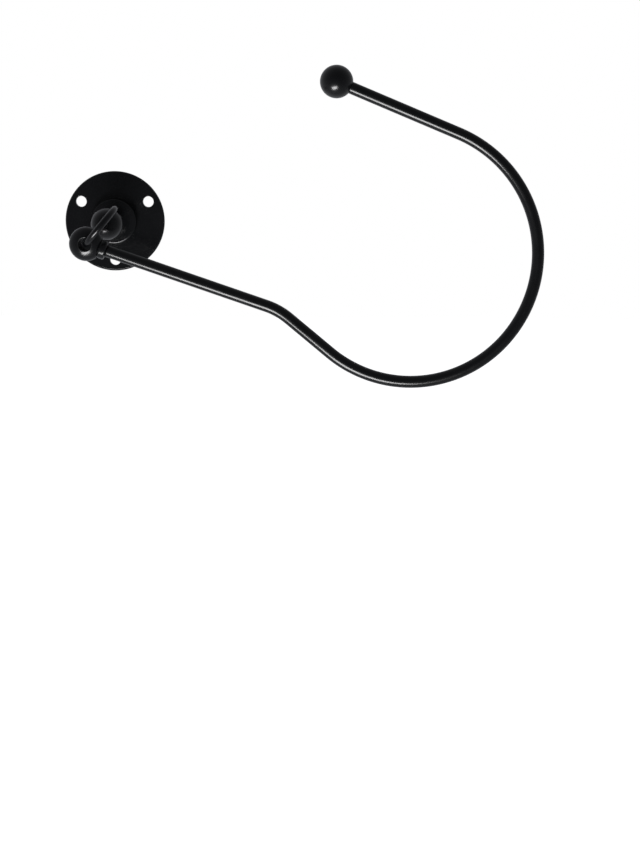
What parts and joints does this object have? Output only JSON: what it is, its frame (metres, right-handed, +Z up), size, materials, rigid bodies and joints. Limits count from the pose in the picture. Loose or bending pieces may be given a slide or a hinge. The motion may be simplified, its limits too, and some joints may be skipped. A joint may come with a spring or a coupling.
{
  "type": "curtain and shutter holdback",
  "caption": "Wall-mounted holdback: a round screw-on plate with a ball post and ring eye, and a bent rod arm with an open loop and ball end that hangs on the ring.",
  "frame": {"origin": "centre of the wall plate's back face, where it meets the wall", "axes": "+X along the wall to the right as seen from the room, towards the arm's loop; +Y into the wall; +Z up"},
  "size_m": [0.2357, 0.0606, 0.1529],
  "materials": {
    "black_coat": "satin black coating on steel"
  },
  "bodies": {
    "wall_mount": {"wall_plate": "black_coat", "rosette": "black_coat", "post_stud": "black_coat", "post_ball": "black_coat", "ring_eye": "black_coat"},
    "arm": {"arm_eye": "black_coat", "arm_collar": "black_coat", "arm_rod": "black_coat", "end_ball": "black_coat"}
  },
  "joints": [
    {"name": "arm_swing", "type": "hinge", "parent": "wall_mount", "child": "arm", "pos_m": [-0.00683, -0.04829, -0.00829], "axis": [0, -1, 0], "range_deg": [-277, 56]}
  ]
}
